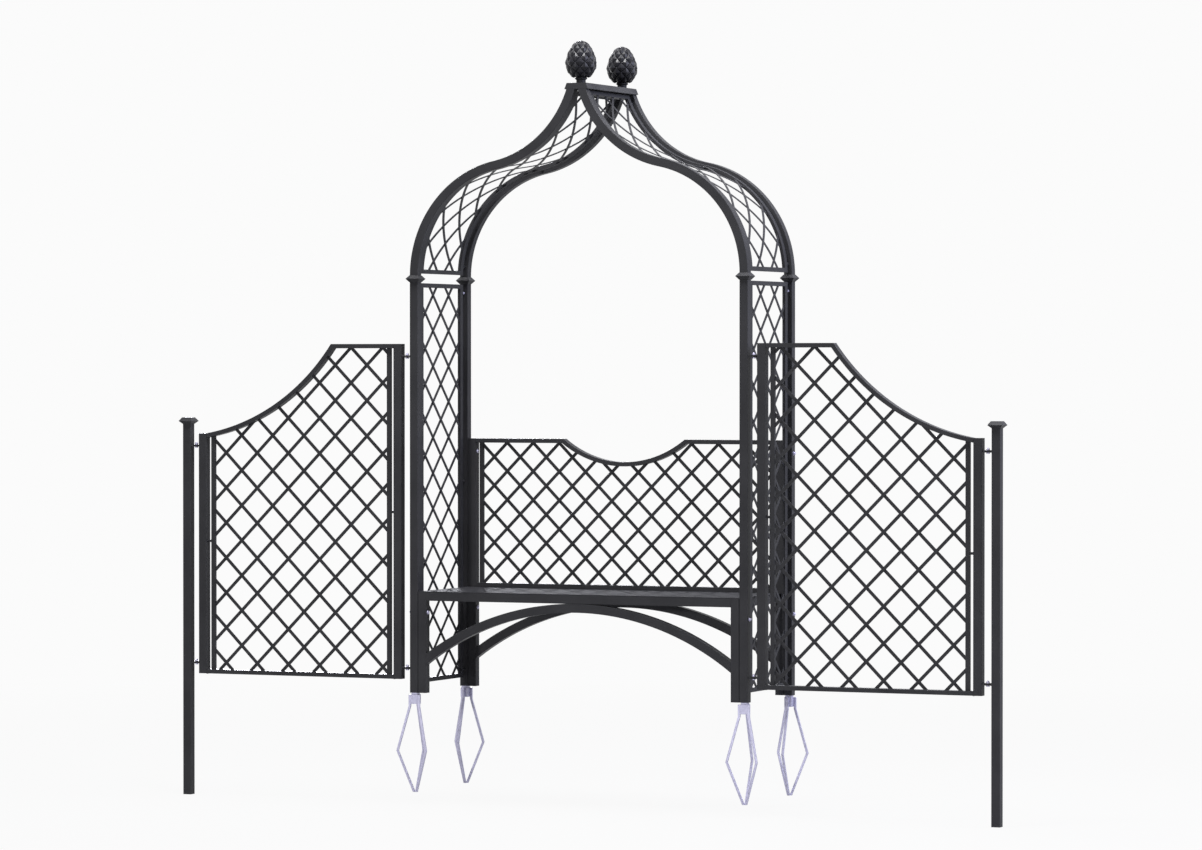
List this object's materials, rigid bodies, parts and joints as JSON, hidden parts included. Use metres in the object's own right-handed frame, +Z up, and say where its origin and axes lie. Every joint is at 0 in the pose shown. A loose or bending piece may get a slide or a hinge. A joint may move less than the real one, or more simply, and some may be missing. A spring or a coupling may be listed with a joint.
{
  "type": "rose arch with bench",
  "caption": "Garden rose arch of dark square tube with an ogee top, pine-cone finials, a bench with lattice back between its posts, and trellis wings that swivel on end posts.",
  "frame": {"origin": "middle of the arch at ground level, under the ridge", "axes": "+X along the wings to the sitter's left, -Y to the front, +Z up"},
  "size_m": [4.089, 0.623, 3.4894],
  "materials": {
    "coated_tube": "dark anthracite powder coat, satin, on hot-dip zinc",
    "coated_lattice": "dark anthracite powder coat, satin",
    "coated_plate": "dark anthracite powder coat, a little glossier",
    "coated_casting": "dark anthracite powder coat on cast aluminium",
    "zinc_steel": "bright zinc plate with a faint lilac cast"
  },
  "bodies": {
    "arch": {"anchor_front_left": "zinc_steel", "anchor_front_right": "zinc_steel", "anchor_rear_left": "zinc_steel", "anchor_rear_right": "zinc_steel", "arch_lugs": "coated_tube", "back_bottom_rail": "coated_tube", "back_lattice": "coated_lattice", "back_top_rail": "coated_tube", "bench_bolts": "zinc_steel", "finial_front": "coated_casting", "finial_rear": "coated_casting", "finial_studs": "zinc_steel", "front_brace": "coated_tube", "left_arch_frame": "coated_lattice", "left_arch_lattice": "coated_lattice", "left_arch_post_front": "coated_tube", "left_arch_post_rear": "coated_tube", "left_back_upright": "coated_tube", "left_bench_leg": "coated_tube", "left_side_lattice": "coated_lattice", "panel_spacers": "zinc_steel", "post_collars": "coated_tube", "rear_brace": "coated_tube", "rib_front_left": "coated_tube", "rib_front_right": "coated_tube", "rib_rear_left": "coated_tube", "rib_rear_right": "coated_tube", "rib_spigots": "coated_tube", "ridge_cap": "coated_tube", "right_arch_frame": "coated_lattice", "right_arch_lattice": "coated_lattice", "right_arch_post_front": "coated_tube", "right_arch_post_rear": "coated_tube", "right_back_upright": "coated_tube", "right_bench_leg": "coated_tube", "right_side_lattice": "coated_lattice", "seat_bearers": "coated_tube", "seat_front_rail": "coated_tube", "seat_plate": "coated_plate", "wing_hinge_bolts": "zinc_steel"},
    "left_wing": {"left_end_hinge_bolts": "zinc_steel", "left_wing_bottom_rail": "coated_tube", "left_wing_inner_upright": "coated_tube", "left_wing_lattice": "coated_lattice", "left_wing_lugs": "coated_tube", "left_wing_outer_upright": "coated_tube", "left_wing_top_rail": "coated_tube"},
    "left_end": {"left_end_post": "coated_tube", "left_end_post_cap": "coated_tube", "left_end_post_lugs": "coated_tube"},
    "right_wing": {"right_end_hinge_bolts": "zinc_steel", "right_wing_bottom_rail": "coated_tube", "right_wing_inner_upright": "coated_tube", "right_wing_lattice": "coated_lattice", "right_wing_lugs": "coated_tube", "right_wing_outer_upright": "coated_tube", "right_wing_top_rail": "coated_tube"},
    "right_end": {"right_end_post": "coated_tube", "right_end_post_cap": "coated_tube", "right_end_post_lugs": "coated_tube"}
  },
  "joints": [
    {"name": "left_wing_swivel", "type": "hinge", "parent": "arch", "child": "left_wing", "pos_m": [-0.86225, -0.265, 0.112], "axis": [0, 0, 1], "range_deg": [-90, 90]},
    {"name": "left_end_post_swivel", "type": "hinge", "parent": "left_wing", "child": "left_end", "pos_m": [-1.96725, -0.265, 0.112], "axis": [0, 0, 1], "range_deg": [-90, 90]},
    {"name": "right_wing_swivel", "type": "hinge", "parent": "arch", "child": "right_wing", "pos_m": [0.86225, -0.265, 0.112], "axis": [0, 0, -1], "range_deg": [-90, 90]},
    {"name": "right_end_post_swivel", "type": "hinge", "parent": "right_wing", "child": "right_end", "pos_m": [1.96725, -0.265, 0.112], "axis": [0, 0, -1], "range_deg": [-90, 90]}
  ]
}
